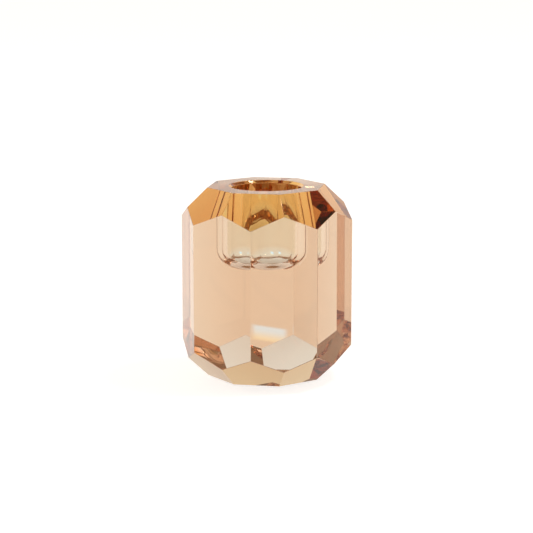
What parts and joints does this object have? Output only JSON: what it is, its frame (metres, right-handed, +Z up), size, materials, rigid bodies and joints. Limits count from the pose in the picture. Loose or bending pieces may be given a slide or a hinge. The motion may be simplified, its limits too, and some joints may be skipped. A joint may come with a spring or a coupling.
{
  "type": "tealight holder",
  "caption": "Solid faceted crystal block, eight-sided with bevelled corners top and bottom and a deep round well for a tealight, on clear bumper pads.",
  "frame": {"origin": "on the surface the holder stands on, under the middle of the block", "axes": "+Z up along the well; one upright face looks towards -Y, the front"},
  "size_m": [0.09, 0.09, 0.1093],
  "materials": {
    "amber_crystal": "polished solid crystal glass, tinted pale amber all through",
    "clear_rubber": "clear soft silicone rubber with a satin surface"
  },
  "bodies": {
    "root": {"crystal_block": "amber_crystal", "bumper_pad_front_left": "clear_rubber", "bumper_pad_front_right": "clear_rubber", "bumper_pad_back_left": "clear_rubber", "bumper_pad_back_right": "clear_rubber"}
  },
  "joints": []
}
